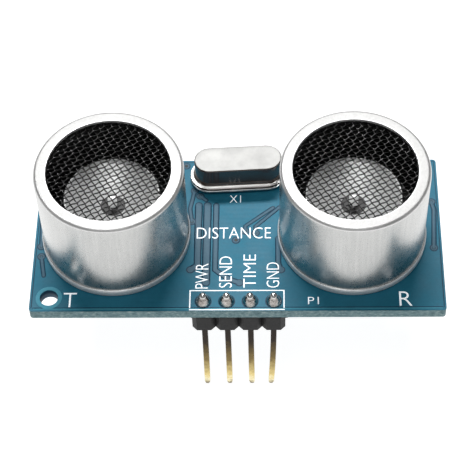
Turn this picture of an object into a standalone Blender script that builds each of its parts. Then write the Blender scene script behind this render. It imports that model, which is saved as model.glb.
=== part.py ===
"""Ultrasonic distance sensor: a circuit board with a transmitter and a receiver in round metal cans.

Metres. +Z is the way the sensor faces, +X runs from the transmitter to the receiver, and +Y from
the pin header to the crystal. The origin is the middle of the header's seating face, where its pins
leave the moulded block. The board and what stands on it are placed from the middle of the board's
front face, which an empty marks, and each transducer's pieces from an empty on its own axis.
"""

import math

import bmesh
import bpy
from mathutils import Matrix, Vector

MM = 0.001
GAP = 0.3 * MM  # between pieces that meet
FINE = 48  # segments round a can
COARSE = 16  # segments round a wire, a pin hole or a solder joint
MERGE = 0.002 * MM
CUT_MARGIN = 1.0 * MM  # how far a cutter runs past what it cuts

# Circuit board
BOARD_X = 45.0 * MM
BOARD_Y = 20.5 * MM
BOARD_T = 1.3 * MM
BOARD_CORNER = 0.4 * MM
MOUNT_HOLE_R = 1.0 * MM
MOUNT_PAD_R = 1.45 * MM
MOUNT_PAD_T = 0.05 * MM
MOUNT_HOLE_X = 20.42 * MM
MOUNT_HOLE_Y = 8.5 * MM
BACK_Z = -BOARD_T - GAP  # where pieces on the board's back begin

# Pin header
PITCH = 2.54 * MM
PIN_COUNT = 4
PIN_W = 0.64 * MM
PIN_CHAMFER = 0.16 * MM
PIN_ABOVE_BOARD = 1.4 * MM
PIN_FREE = 13.2 * MM
HEADER_X = 0.12 * MM
HEADER_Y = -9.0 * MM
HEADER_H = 2.3 * MM
HEADER_NOTCH = 0.5 * MM
PIN_HOLE_W = PIN_W + 2 * GAP

# Transducers
TRANSDUCERS = {"transmitter": -13.45 * MM, "receiver": 12.6 * MM}
TRANSDUCER_Y = -0.15 * MM
CAN_R = 8.0 * MM
CAN_TOP = 11.9 * MM
CAN_WALL = 0.5 * MM
CAN_EDGE = 0.45 * MM
RIM_HOLE_R = 6.6 * MM
RIM_T = 0.3 * MM
RIM_LIP = 0.15 * MM
FLANGE_R = 8.2 * MM
FLANGE_H = 0.9 * MM
FLANGE_EDGE = 0.15 * MM
MESH_T = 0.35 * MM
BASE_T = 1.2 * MM
BASE_STEP_T = 0.3 * MM
BASE_STEP_R = 5.2 * MM
DISC_R = 6.3 * MM
DISC_T = 0.2 * MM
DISC_Z = 4.0 * MM
PIEZO_R = 4.5 * MM
PIEZO_T = 0.3 * MM
SEAT_INNER_R = 5.75 * MM
SEAT_OUTER_R = 6.75 * MM
HORN_R = 5.2 * MM
HORN_FOOT_R = 1.1 * MM
HORN_TOP = 7.1 * MM
HORN_WALL = 0.2 * MM
HORN_STEM_R = 0.5 * MM
HORN_STEM_TOP = 7.3 * MM
TERMINAL_R = 0.35 * MM
TERMINAL_SPACING = 10.0 * MM
TERMINAL_TOP = 2.2 * MM
TERMINAL_BEHIND = 1.7 * MM
WIRE_R = 0.08 * MM
WIRE_START = 0.55  # where a wire leaves the piezo disc, as a share of its terminal's distance
WIRE_SAG = 0.15 * MM
WIRE_POINTS = 6

# Crystal
CRYSTAL_AT = Vector((0.0, 7.75 * MM, 0.0))
CRYSTAL_TURN = math.radians(3.3)
CRYSTAL_BODY = (9.8 * MM, 3.45 * MM)
CRYSTAL_FLANGE = (10.9 * MM, 4.5 * MM)
CRYSTAL_TOP = 3.6 * MM
CRYSTAL_WALL = 0.3 * MM
CRYSTAL_EDGE = 0.3 * MM
CRYSTAL_PLATE_T = 0.3 * MM
SKIRT_INSET = 0.1 * MM
INSULATOR_T = 0.15 * MM
CRYSTAL_LEAD_R = 0.215 * MM
CRYSTAL_LEAD_PITCH = 4.88 * MM
CRYSTAL_LEAD_BEHIND = 1.5 * MM
BLANK_SIZE = (7.4 * MM, 1.6 * MM, 0.15 * MM)
BLANK_Z = 2.4 * MM

# Solder joints
SOLDER_H = 0.8 * MM
SOLDER_SPREAD = 0.35 * MM
SOLDER_SHOULDER = 0.1 * MM
SOLDER_RINGS = 5

# Chips on the back
CHIP_BODY_W = 3.9 * MM
CHIP_BODY_T = 1.4 * MM
CHIP_SPAN = 6.0 * MM
CHIP_STANDOFF = 0.1 * MM
LEAD_PITCH = 1.27 * MM
LEAD_W = 0.42 * MM
LEAD_T = 0.2 * MM
LEAD_FOOT = 0.6 * MM
LEAD_BURIED = 0.3 * MM
CHIP_EDGE = 0.12 * MM
CHIP_Y = -1.1 * MM
CHIPS = {
    "driver_chip": (-8.4 * MM, 8, 9.9 * MM),
    "microcontroller_chip": (0.0 * MM, 7, 8.65 * MM),
    "amplifier_chip": (8.1 * MM, 7, 8.65 * MM),
}
TRANSISTOR_AT = (-17.6 * MM, -2.6 * MM)
TRANSISTOR_BODY = (1.3 * MM, 2.9 * MM, 0.9 * MM)
TRANSISTOR_SPAN = 2.4 * MM
TRANSISTOR_PITCH = 0.95 * MM

# Chip resistors and capacitors: place on the board's back, and whether they lie along Y
PASSIVE_SIZE = (1.6 * MM, 0.8 * MM)
RESISTOR_T = 0.45 * MM
CAPACITOR_T = 0.8 * MM
PASSIVE_EDGE = 0.05 * MM
RESISTORS = (
    (-6.6, 6.3, False),
    (-9.4, 6.3, False),
    (5.6, 6.3, False),
    (8.2, 6.3, False),
    (-16.6, 1.6, True),
    (16.4, 1.4, True),
    (16.4, -2.0, True),
)
CAPACITORS = (
    (-3.9, -6.5, False),
    (3.9, -6.5, False),
    (-8.6, -8.3, False),
    (9.4, -8.3, False),
)

BOARD_FRONT_Z = HEADER_H + GAP + BOARD_T  # above the header's seating face


def material(name, colour, roughness, metallic=0.0):
    """A plain Principled material."""
    made = bpy.data.materials.new(name)
    made.use_nodes = True
    shader = made.node_tree.nodes["Principled BSDF"]
    shader.inputs["Base Color"].default_value = (*colour, 1.0)
    shader.inputs["Roughness"].default_value = roughness
    shader.inputs["Metallic"].default_value = metallic
    made.diffuse_color = (*colour, 1.0)
    return made


def collection(name):
    made = bpy.data.collections.new(name)
    bpy.context.scene.collection.children.link(made)
    return made


def add(name, mesh, parent, at=(0.0, 0.0, 0.0), turn=0.0):
    """A part: a named object under its parent empty."""
    obj = bpy.data.objects.new(name, mesh)
    obj.parent = parent
    obj.location = at
    obj.rotation_euler.z = turn
    PARTS.objects.link(obj)
    return obj


def finish(obj, look):
    """Gives a part its material and smooth shading with sharp edges kept."""
    obj.data.materials.clear()
    obj.data.materials.append(look)
    obj.data.shade_smooth()
    obj.data.set_sharp_from_angle(angle=math.radians(35))
    return obj


def empty(name, at, parent=None):
    """A reference point that parts are placed from."""
    made = bpy.data.objects.new(name, None)
    made.empty_display_size = 2 * MM
    made.location = at
    made.parent = parent
    PARTS.objects.link(made)
    return made


def mesh_from(name, bm):
    mesh = bpy.data.meshes.new(name)
    bmesh.ops.recalc_face_normals(bm, faces=bm.faces)
    bm.to_mesh(mesh)
    bm.free()
    return mesh


def box_mesh(name, size, centre=(0.0, 0.0, 0.0)):
    """A box of this size about this point."""
    bm = bmesh.new()
    place = Matrix.Translation(centre) @ Matrix.Diagonal((*size, 1.0))
    bmesh.ops.create_cube(bm, size=1.0, matrix=place)
    return mesh_from(name, bm)


def posts_mesh(name, points, radius, low, high, segments=COARSE):
    """Upright cylinders on these points, in one mesh."""
    bm = bmesh.new()
    for x, y in points:
        place = Matrix.Translation((x, y, (low + high) / 2))
        bmesh.ops.create_cone(
            bm, cap_ends=True, segments=segments, radius1=radius, radius2=radius,
            depth=high - low, matrix=place,
        )
    return mesh_from(name, bm)


def turned(name, profile, look, parent, steps=FINE, closed=True, at=(0.0, 0.0, 0.0)):
    """A turned part. Its profile of (radius, height) runs down its outer side."""
    mesh = bpy.data.meshes.new(name)
    last = len(profile) - 1
    edges = [(i, i + 1) for i in range(last)]
    if closed:
        edges.append((last, 0))
    mesh.from_pydata([(r, 0.0, z) for r, z in profile], edges, [])
    obj = add(name, mesh, parent, at)
    screw = obj.modifiers.new("turn", "SCREW")
    screw.steps = screw.render_steps = steps
    screw.use_merge_vertices = True
    screw.merge_threshold = MERGE
    screw.use_smooth_shade = True
    obj.data.materials.append(look)
    return obj


def arc(cx, cz, radius, start, end, count):
    """Points of an arc, in degrees from +X towards +Z."""
    for i in range(count):
        angle = math.radians(start + (end - start) * i / (count - 1))
        yield (cx + radius * math.cos(angle), cz + radius * math.sin(angle))


def stadium(length, width, count=9):
    """Outline of a slot shape: two straight sides joined by half circles."""
    radius = width / 2
    half = length / 2 - radius
    right = list(arc(half, 0.0, radius, -90, 90, count))
    left = list(arc(-half, 0.0, radius, 90, 270, count))
    return right + left


def extruded_mesh(name, outline, low, high):
    """A flat outline given thickness between two heights, as a welded mesh."""
    data = bpy.data.curves.new(name + "_outline", "CURVE")
    data.dimensions = "2D"
    data.fill_mode = "BOTH"
    data.extrude = (high - low) / 2
    spline = data.splines.new("POLY")
    spline.points.add(len(outline) - 1)
    for point, (x, y) in zip(spline.points, outline):
        point.co = (x, y, 0.0, 1.0)
    spline.use_cyclic_u = True
    curve = bpy.data.objects.new(name + "_outline", data)
    CUTTERS.objects.link(curve)
    depsgraph = bpy.context.evaluated_depsgraph_get()
    mesh = bpy.data.meshes.new_from_object(curve.evaluated_get(depsgraph))
    bpy.data.objects.remove(curve)
    bm = bmesh.new()
    bm.from_mesh(mesh)
    bpy.data.meshes.remove(mesh)
    bmesh.ops.remove_doubles(bm, verts=bm.verts, dist=MERGE)
    bmesh.ops.dissolve_limit(bm, angle_limit=math.radians(1), verts=bm.verts, edges=bm.edges)
    bmesh.ops.translate(bm, verts=bm.verts, vec=(0.0, 0.0, (low + high) / 2))
    return mesh_from(name, bm)


def boolean(obj, mesh, operation, at=(0.0, 0.0, 0.0), turn=0.0):
    """Cuts a part with, or joins it to, a mesh placed under the same parent."""
    tool = bpy.data.objects.new(f"{obj.name}_{operation.lower()}", mesh)
    tool.parent = obj.parent
    tool.location = at
    tool.rotation_euler.z = turn
    tool.hide_render = True
    tool.display_type = "WIRE"
    CUTTERS.objects.link(tool)
    modifier = obj.modifiers.new(operation.lower(), "BOOLEAN")
    modifier.operation = operation
    modifier.solver = "EXACT"
    modifier.object = tool
    return modifier


def bevel(obj, width, segments=1):
    """Rounds or chamfers a part's sharp edges."""
    modifier = obj.modifiers.new("edges", "BEVEL")
    modifier.width = width
    modifier.segments = segments
    modifier.limit_method = "ANGLE"
    modifier.angle_limit = math.radians(50)
    return modifier


def row_of(count, pitch, centre=0.0):
    """Places along a line, evenly spaced about its centre."""
    return [centre + (i - (count - 1) / 2) * pitch for i in range(count)]


def crystal_point(x):
    """Where a point along the crystal's length lies on the board."""
    turned_point = Matrix.Rotation(CRYSTAL_TURN, 3, "Z") @ Vector((x, 0.0, 0.0))
    return (CRYSTAL_AT + turned_point).xy


def pin_places():
    return [(x, HEADER_Y) for x in row_of(PIN_COUNT, PITCH, HEADER_X)]


def terminal_places(x):
    return [(x, y) for y in row_of(2, TERMINAL_SPACING, TRANSDUCER_Y)]


def lead_places():
    return [crystal_point(x) for x in row_of(2, CRYSTAL_LEAD_PITCH)]


def make_board(front):
    """The board, with a raised copper ring on both faces of each mounting hole."""
    bm = bmesh.new()
    place = Matrix.Translation((0.0, 0.0, -BOARD_T / 2))
    place = place @ Matrix.Diagonal((BOARD_X, BOARD_Y, BOARD_T, 1.0))
    bmesh.ops.create_cube(bm, size=1.0, matrix=place)
    upright = [e for e in bm.edges if abs(e.verts[0].co.z - e.verts[1].co.z) > BOARD_T / 2]
    bmesh.ops.bevel(
        bm, geom=upright, offset=BOARD_CORNER, segments=3, profile=0.5, affect="EDGES"
    )
    board = add("circuit_board", mesh_from("circuit_board", bm), front)
    corners = [(-MOUNT_HOLE_X, -MOUNT_HOLE_Y), (MOUNT_HOLE_X, MOUNT_HOLE_Y)]
    low = -BOARD_T - CUT_MARGIN
    pads = posts_mesh("pads", corners, MOUNT_PAD_R, -BOARD_T - MOUNT_PAD_T, MOUNT_PAD_T, 24)
    boolean(board, pads, "UNION")
    boolean(board, posts_mesh("mount_holes", corners, MOUNT_HOLE_R, low, CUT_MARGIN, 24), "DIFFERENCE")
    pins = posts_mesh("pin_holes", pin_places(), PIN_W / 2 + GAP, low, CUT_MARGIN)
    boolean(board, pins, "DIFFERENCE")
    terminals = [place for x in TRANSDUCERS.values() for place in terminal_places(x)]
    holes = posts_mesh("terminal_holes", terminals, TERMINAL_R + GAP, low, CUT_MARGIN)
    boolean(board, holes, "DIFFERENCE")
    leads = posts_mesh("lead_holes", lead_places(), CRYSTAL_LEAD_R + GAP, low, CUT_MARGIN)
    boolean(board, leads, "DIFFERENCE")
    finish(board, BOARD)


def make_header(front):
    """The block behind the board's edge and its long straight pins."""
    top = BACK_Z
    bottom = BACK_Z - HEADER_H
    size = (PIN_COUNT * PITCH, PITCH, HEADER_H)
    mesh = box_mesh("header_block", size, (HEADER_X, HEADER_Y, (top + bottom) / 2))
    block = add("header_block", mesh, front)
    cell_edges = row_of(PIN_COUNT + 1, PITCH, HEADER_X)
    notches = [(x, HEADER_Y + side * PITCH / 2) for x in cell_edges for side in (-1, 1)]
    cut_low, cut_high = bottom - CUT_MARGIN, top + CUT_MARGIN
    boolean(block, posts_mesh("notches", notches, HEADER_NOTCH, cut_low, cut_high, 4), "DIFFERENCE")
    bm = bmesh.new()
    for x, y in pin_places():
        place = Matrix.Translation((x, y, (cut_low + cut_high) / 2))
        place = place @ Matrix.Diagonal((PIN_HOLE_W, PIN_HOLE_W, cut_high - cut_low, 1.0))
        bmesh.ops.create_cube(bm, size=1.0, matrix=place)
    boolean(block, mesh_from("block_holes", bm), "DIFFERENCE")
    finish(block, BLACK_PLASTIC)
    tip = bottom - PIN_FREE
    for number, (x, y) in enumerate(pin_places(), 1):
        length = PIN_ABOVE_BOARD - tip
        mesh = box_mesh(f"header_pin_{number}", (PIN_W, PIN_W, length))
        pin = add(mesh.name, mesh, front, (x, y, (PIN_ABOVE_BOARD + tip) / 2))
        taper_ends(pin.data, length / 2)
        finish(pin, GOLD)
        make_solder(f"header_solder_{number}", (x, y), PIN_W * math.sqrt(0.5), GAP, 1, front)


def taper_ends(mesh, half_length):
    """Chamfers the edges round both ends of a square pin."""
    bm = bmesh.new()
    bm.from_mesh(mesh)
    rims = [e for e in bm.edges if all(abs(v.co.z) > half_length - MERGE for v in e.verts)
            and abs(e.verts[0].co.z - e.verts[1].co.z) < MERGE]
    bmesh.ops.bevel(bm, geom=rims, offset=PIN_CHAMFER, segments=1, affect="EDGES")
    bm.to_mesh(mesh)
    bm.free()


def make_solder(name, at, pin_r, base_z, up, parent):
    """A solder fillet round a pin, rising from the board when up is 1 and hanging when it is -1."""
    inner = pin_r + GAP
    outer = inner + SOLDER_SPREAD
    shoulder = inner + SOLDER_SHOULDER
    profile = [(inner, SOLDER_H)]
    for i in range(SOLDER_RINGS):
        t = i / (SOLDER_RINGS - 1)
        profile.append((shoulder + (outer - shoulder) * t * t, SOLDER_H * (1 - t)))
    profile.append((inner, 0.0))
    if up < 0:
        profile = [(r, -z) for r, z in reversed(profile)]
    turned(name, profile, SOLDER, parent, COARSE, at=(*at, base_z))


def make_can(name, axis):
    """The can: a side wall with a rolled lower edge and a flat front rim with a round opening."""
    inner = CAN_R - CAN_WALL
    corner = list(arc(CAN_R - CAN_EDGE, CAN_TOP - CAN_EDGE, CAN_EDGE, 90, 0, 5))
    lip_start = (RIM_HOLE_R, CAN_TOP - RIM_LIP)
    profile = [(RIM_HOLE_R, CAN_TOP - RIM_T), lip_start, (RIM_HOLE_R + RIM_LIP, CAN_TOP)]
    profile += corner
    profile += [
        (CAN_R, GAP + FLANGE_H + FLANGE_EDGE),
        (FLANGE_R - FLANGE_EDGE, GAP + FLANGE_H),
        (FLANGE_R, GAP + FLANGE_H - FLANGE_EDGE),
        (FLANGE_R, GAP + FLANGE_EDGE),
        (FLANGE_R - FLANGE_EDGE, GAP),
        (inner, GAP),
        (inner, CAN_TOP - RIM_T),
    ]
    turned(name, profile, ALUMINIUM, axis)


def make_disc(name, radius, low, high, look, axis, steps=FINE):
    profile = [(0.0, high), (radius, high), (radius, low), (0.0, low)]
    turned(name, profile, look, axis, steps, closed=False)


def make_horn(name, axis):
    """The thin metal cone that couples the disc to the air, with its riveted stem."""
    foot = DISC_Z + DISC_T + GAP
    slope = (HORN_TOP - foot) / (HORN_R - HORN_FOOT_R)
    floor = foot + HORN_WALL
    inner_r = HORN_FOOT_R - HORN_WALL / 2
    profile = [
        (0.0, HORN_STEM_TOP),
        (HORN_STEM_R, HORN_STEM_TOP),
        (HORN_STEM_R, floor),
        (inner_r, floor),
        (HORN_R - HORN_WALL, floor + slope * (HORN_R - HORN_WALL - inner_r)),
        (HORN_R, HORN_TOP),
        (HORN_FOOT_R, foot),
        (0.0, foot),
    ]
    turned(name, profile, ALUMINIUM, axis, closed=False)


def make_base(name, axis):
    """The moulded base that closes the can behind and holds the two terminals."""
    radius = CAN_R - CAN_WALL - GAP
    top = GAP + BASE_T
    profile = [
        (0.0, top),
        (BASE_STEP_R - BASE_STEP_T, top),
        (BASE_STEP_R, top - BASE_STEP_T),
        (radius, top - BASE_STEP_T),
        (radius, GAP),
        (0.0, GAP),
    ]
    base = turned(name, profile, BROWN_PLASTIC, axis, closed=False)
    places = [(0.0, y) for y in row_of(2, TERMINAL_SPACING)]
    holes = posts_mesh("base_holes", places, TERMINAL_R + GAP, GAP - CUT_MARGIN, top + CUT_MARGIN)
    boolean(base, holes, "DIFFERENCE")


def make_wire(name, side, axis):
    """A fine wire from the piezo disc down to a terminal."""
    start = DISC_Z - GAP - PIEZO_T - GAP
    end_y = side * TERMINAL_SPACING / 2
    end = TERMINAL_TOP + GAP
    points = []
    for i in range(WIRE_POINTS):
        t = i / (WIRE_POINTS - 1)
        sag = WIRE_SAG * math.sin(math.pi * t)
        y = end_y * (WIRE_START + (1 - WIRE_START) * math.sin(math.pi / 2 * t))
        points.append((0.0, y, start + (end - start) * t * t - sag * (1 - t)))
    data = bpy.data.curves.new(name, "CURVE")
    data.dimensions = "3D"
    data.bevel_depth = WIRE_R
    data.bevel_resolution = 2
    data.use_fill_caps = True
    spline = data.splines.new("POLY")
    spline.points.add(len(points) - 1)
    for point, place in zip(spline.points, points):
        point.co = (*place, 1.0)
    wire = bpy.data.objects.new(name, data)
    wire.parent = axis
    data.materials.append(COPPER)
    PARTS.objects.link(wire)


def make_transducer(kind, x, front):
    """One transducer, from its front can to its solder joints."""
    axis = empty(f"{kind}_axis", (x, TRANSDUCER_Y, 0.0), front)
    inside = CAN_R - CAN_WALL - GAP
    mesh_top = CAN_TOP - RIM_T - GAP
    make_can(f"{kind}_can", axis)
    make_disc(f"{kind}_mesh", inside, mesh_top - MESH_T, mesh_top, STEEL, axis)
    make_horn(f"{kind}_horn", axis)
    make_disc(f"{kind}_vibrating_disc", DISC_R, DISC_Z, DISC_Z + DISC_T, BRASS, axis)
    piezo_top = DISC_Z - GAP
    make_disc(f"{kind}_piezo_disc", PIEZO_R, piezo_top - PIEZO_T, piezo_top, CERAMIC, axis)
    seat_low = GAP + BASE_T - BASE_STEP_T + GAP
    seat = [
        (SEAT_INNER_R, piezo_top),
        (SEAT_OUTER_R, piezo_top),
        (SEAT_OUTER_R, seat_low),
        (SEAT_INNER_R, seat_low),
    ]
    turned(f"{kind}_seat_ring", seat, SILICONE, axis)
    make_base(f"{kind}_base", axis)
    tip = -BOARD_T - TERMINAL_BEHIND
    for number, side in enumerate((-1, 1), 1):
        at = (0.0, side * TERMINAL_SPACING / 2)
        mesh = posts_mesh(f"{kind}_terminal_{number}", [at], TERMINAL_R, tip, TERMINAL_TOP, 12)
        finish(add(mesh.name, mesh, axis), TINNED)
        make_wire(f"{kind}_wire_{number}", side, axis)
        make_solder(f"{kind}_solder_{number}", at, TERMINAL_R, BACK_Z, -1, axis)


def make_crystal(front):
    """The crystal: its can on a base plate and an insulator, with the quartz blank on two leads."""
    spot = empty("crystal_spot", CRYSTAL_AT, front)
    spot.rotation_euler.z = CRYSTAL_TURN
    leads = [(x, 0.0) for x in row_of(2, CRYSTAL_LEAD_PITCH)]

    def plate(name, size, low, thickness, look):
        high = low + thickness
        obj = add(name, extruded_mesh(name, stadium(*size), low, high), spot)
        holes = posts_mesh(name + "_holes", leads, CRYSTAL_LEAD_R + GAP, low - CUT_MARGIN, high + CUT_MARGIN)
        boolean(obj, holes, "DIFFERENCE")
        finish(obj, look)
        return high

    wider = (CRYSTAL_FLANGE[0] + GAP, CRYSTAL_FLANGE[1] + GAP)
    top = plate("crystal_insulator", wider, GAP, INSULATOR_T, CLEAR_SHEET)
    top = plate("crystal_base", CRYSTAL_FLANGE, top + GAP, CRYSTAL_PLATE_T, NICKEL)

    can_low = top + GAP
    body = extruded_mesh("crystal_can", stadium(*CRYSTAL_BODY), can_low, CRYSTAL_TOP)
    can = add("crystal_can", body, spot)
    bevel(can, CRYSTAL_EDGE, 3)
    skirt_size = (CRYSTAL_FLANGE[0] - SKIRT_INSET, CRYSTAL_FLANGE[1] - SKIRT_INSET)
    skirt = extruded_mesh("skirt", stadium(*skirt_size), can_low, can_low + CRYSTAL_PLATE_T)
    boolean(can, skirt, "UNION")
    hollow_size = (CRYSTAL_BODY[0] - 2 * CRYSTAL_WALL, CRYSTAL_BODY[1] - 2 * CRYSTAL_WALL)
    hollow = extruded_mesh(
        "hollow", stadium(*hollow_size), can_low - CUT_MARGIN, CRYSTAL_TOP - CRYSTAL_WALL
    )
    boolean(can, hollow, "DIFFERENCE")
    finish(can, NICKEL)

    finish(add("quartz_blank", box_mesh("quartz_blank", BLANK_SIZE), spot, (0.0, 0.0, BLANK_Z)), QUARTZ)
    lead_top = BLANK_Z - BLANK_SIZE[2] / 2 - GAP
    tip = -BOARD_T - CRYSTAL_LEAD_BEHIND
    for number, at in enumerate(leads, 1):
        mesh = posts_mesh(f"crystal_lead_{number}", [at], CRYSTAL_LEAD_R, tip, lead_top, 12)
        finish(add(mesh.name, mesh, spot), TINNED)
        make_solder(f"crystal_solder_{number}", at, CRYSTAL_LEAD_R, BACK_Z, -1, spot)


def lead_outline(inner, outer, body_t):
    """A gull-wing lead from the side: out of the body, down to the board, and out to its foot."""
    shoulder_z = BACK_Z - CHIP_STANDOFF - body_t / 2
    knee = outer - LEAD_FOOT
    foot_z = BACK_Z
    return [
        (inner, shoulder_z),
        (knee, shoulder_z),
        (knee + LEAD_T, foot_z - LEAD_T),
        (outer, foot_z - LEAD_T),
        (outer, foot_z),
        (knee, foot_z),
        (knee - LEAD_T, shoulder_z + LEAD_T),
        (inner, shoulder_z + LEAD_T),
    ]


def leads_mesh(name, outline, places):
    """Leads cut from one outline, at each (place along the body, side)."""
    bm = bmesh.new()
    for along, side in places:
        low = [bm.verts.new((side * x, along - LEAD_W / 2, z)) for x, z in outline]
        face = bm.faces.new(low)
        grown = bmesh.ops.extrude_face_region(bm, geom=[face])["geom"]
        moved = [v for v in grown if isinstance(v, bmesh.types.BMVert)]
        bmesh.ops.translate(bm, verts=moved, vec=(0.0, LEAD_W, 0.0))
    return mesh_from(name, bm)


def make_package(name, at, body, span, places, front):
    """A chip package: a chamfered moulded body joined to its gull-wing leads."""
    centre = (0.0, 0.0, BACK_Z - CHIP_STANDOFF - body[2] / 2)
    obj = add(name, box_mesh(name, body, centre), front, (*at, 0.0))
    bevel(obj, CHIP_EDGE)
    outline = lead_outline(body[0] / 2 - LEAD_BURIED, span / 2, body[2])
    boolean(obj, leads_mesh(name + "_leads", outline, places), "UNION", (*at, 0.0))
    finish(obj, BLACK_EPOXY)


def make_chips(front):
    for name, (x, per_side, length) in CHIPS.items():
        body = (CHIP_BODY_W, length, CHIP_BODY_T)
        places = [(y, side) for y in row_of(per_side, LEAD_PITCH) for side in (-1, 1)]
        make_package(name, (x, CHIP_Y), body, CHIP_SPAN, places, front)
    places = [(-TRANSISTOR_PITCH, 1), (TRANSISTOR_PITCH, 1), (0.0, -1)]
    make_package("transistor", TRANSISTOR_AT, TRANSISTOR_BODY, TRANSISTOR_SPAN, places, front)


def make_passives(kind, places, thickness, look, front):
    for number, (x, y, along_y) in enumerate(places, 1):
        name = f"{kind}_{number}"
        mesh = box_mesh(name, (*PASSIVE_SIZE, thickness))
        turn = math.pi / 2 if along_y else 0.0
        obj = add(name, mesh, front, (x * MM, y * MM, BACK_Z - thickness / 2), turn)
        bevel(obj, PASSIVE_EDGE)
        finish(obj, look)


def make_sensor():
    origin = empty("header_seat", (0.0, 0.0, 0.0))
    front = empty("board_front", (-HEADER_X, -HEADER_Y, BOARD_FRONT_Z), origin)
    make_board(front)
    make_header(front)
    for kind, x in TRANSDUCERS.items():
        make_transducer(kind, x, front)
    make_crystal(front)
    make_chips(front)
    make_passives("resistor", RESISTORS, RESISTOR_T, BLACK_EPOXY, front)
    make_passives("capacitor", CAPACITORS, CAPACITOR_T, TAN_CERAMIC, front)


for old in list(bpy.data.objects):
    bpy.data.objects.remove(old)

PARTS = collection("ultrasonic_distance_sensor")
CUTTERS = collection("cutters")
CUTTERS.hide_render = True

BOARD = material("teal_board", (0.02, 0.16, 0.25), 0.35)
ALUMINIUM = material("aluminium", (0.8, 0.8, 0.79), 0.35, 1.0)
STEEL = material("steel_mesh", (0.2, 0.2, 0.2), 0.4, 1.0)
BRASS = material("brass", (0.75, 0.6, 0.3), 0.35, 1.0)
CERAMIC = material("piezo_ceramic", (0.7, 0.66, 0.55), 0.6)
SILICONE = material("silicone", (0.75, 0.75, 0.72), 0.5)
BROWN_PLASTIC = material("brown_phenolic", (0.16, 0.08, 0.04), 0.5)
BLACK_PLASTIC = material("black_plastic", (0.02, 0.02, 0.02), 0.4)
BLACK_EPOXY = material("black_epoxy", (0.03, 0.03, 0.03), 0.5)
TAN_CERAMIC = material("tan_ceramic", (0.5, 0.36, 0.22), 0.45)
GOLD = material("gilt_brass", (0.85, 0.62, 0.25), 0.25, 1.0)
TINNED = material("tinned_steel", (0.7, 0.7, 0.7), 0.3, 1.0)
SOLDER = material("solder", (0.68, 0.68, 0.68), 0.25, 1.0)
COPPER = material("copper_wire", (0.7, 0.35, 0.2), 0.35, 1.0)
NICKEL = material("nickel_plate", (0.72, 0.71, 0.69), 0.18, 1.0)
CLEAR_SHEET = material("insulator_sheet", (0.85, 0.86, 0.86), 0.4)
QUARTZ = material("quartz", (0.85, 0.86, 0.88), 0.15)

make_sensor()
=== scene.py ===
"""Looks of the ultrasonic distance sensor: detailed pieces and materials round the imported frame.

Metres, in the row frame. Pieces on the board are modelled from the middle of its front face, which
`FRONT` names: +X runs from the transmitter to the receiver, +Y from the header to the crystal, and
+Z is the way the sensor faces.
"""
import math

import bmesh
import bpy
from mathutils import Matrix, Vector


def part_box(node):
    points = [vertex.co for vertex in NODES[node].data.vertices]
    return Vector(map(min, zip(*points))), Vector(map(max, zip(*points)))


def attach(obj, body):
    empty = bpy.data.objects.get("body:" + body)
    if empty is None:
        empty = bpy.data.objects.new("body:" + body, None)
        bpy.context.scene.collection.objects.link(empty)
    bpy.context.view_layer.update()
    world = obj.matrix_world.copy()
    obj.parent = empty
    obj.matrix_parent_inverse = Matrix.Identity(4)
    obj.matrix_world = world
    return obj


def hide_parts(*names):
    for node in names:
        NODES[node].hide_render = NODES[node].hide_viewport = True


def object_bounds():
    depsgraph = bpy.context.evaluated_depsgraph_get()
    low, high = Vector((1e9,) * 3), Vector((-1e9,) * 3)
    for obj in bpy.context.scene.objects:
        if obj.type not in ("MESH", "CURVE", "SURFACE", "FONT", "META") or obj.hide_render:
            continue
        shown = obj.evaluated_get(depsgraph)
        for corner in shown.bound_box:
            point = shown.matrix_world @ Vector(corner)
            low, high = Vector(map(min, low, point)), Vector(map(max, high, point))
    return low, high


MM = 0.001
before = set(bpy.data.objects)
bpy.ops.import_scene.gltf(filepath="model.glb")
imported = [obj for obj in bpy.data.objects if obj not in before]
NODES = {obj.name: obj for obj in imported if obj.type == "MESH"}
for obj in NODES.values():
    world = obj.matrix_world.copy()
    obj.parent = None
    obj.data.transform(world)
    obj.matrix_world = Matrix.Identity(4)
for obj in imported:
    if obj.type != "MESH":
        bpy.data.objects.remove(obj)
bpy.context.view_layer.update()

# ---------------- sizes read from the frame
PAD_T = 0.05 * MM  # copper rings stand this far out of the board's faces
board_low, board_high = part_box("circuit_board")
FRONT = Vector(((board_low.x + board_high.x) / 2, (board_low.y + board_high.y) / 2,
                board_high.z - PAD_T))
HALF_X, HALF_Y = (board_high.x - board_low.x) / 2, (board_high.y - board_low.y) / 2
BOARD_T = board_high.z - board_low.z - 2 * PAD_T
BACK = -BOARD_T
KINDS = ("transmitter", "receiver")


def on_board(node):
    """A CAD node's box, measured from the middle of the board's front face."""
    low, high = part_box(node)
    return low - FRONT, high - FRONT


def middle(node):
    low, high = on_board(node)
    return (low + high) / 2


def axis_of(node):
    """Where a node's upright middle line meets the board, and the radius of its box."""
    low, high = on_board(node)
    return ((low.x + high.x) / 2, (low.y + high.y) / 2), (high.x - low.x) / 2


# ---------------- mesh helpers
def mesh_of(bm, name):
    mesh = bpy.data.meshes.new(name)
    bm.to_mesh(mesh)
    bm.free()
    return mesh


def piece(name, bm, *looks, replaces=(), slot=None, smooth=35):
    """A finished piece in the row frame that rides on the sensor."""
    mesh = mesh_of(bm, name)
    for look in looks:
        mesh.materials.append(look)
    mesh.transform(Matrix.Translation(FRONT))
    obj = bpy.data.objects.new(name, mesh)
    bpy.context.scene.collection.objects.link(obj)
    if smooth:
        mesh.shade_smooth()
        mesh.set_sharp_from_angle(angle=math.radians(smooth))
    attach(obj, "root")
    if replaces:
        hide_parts(*replaces)
    return obj


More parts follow.
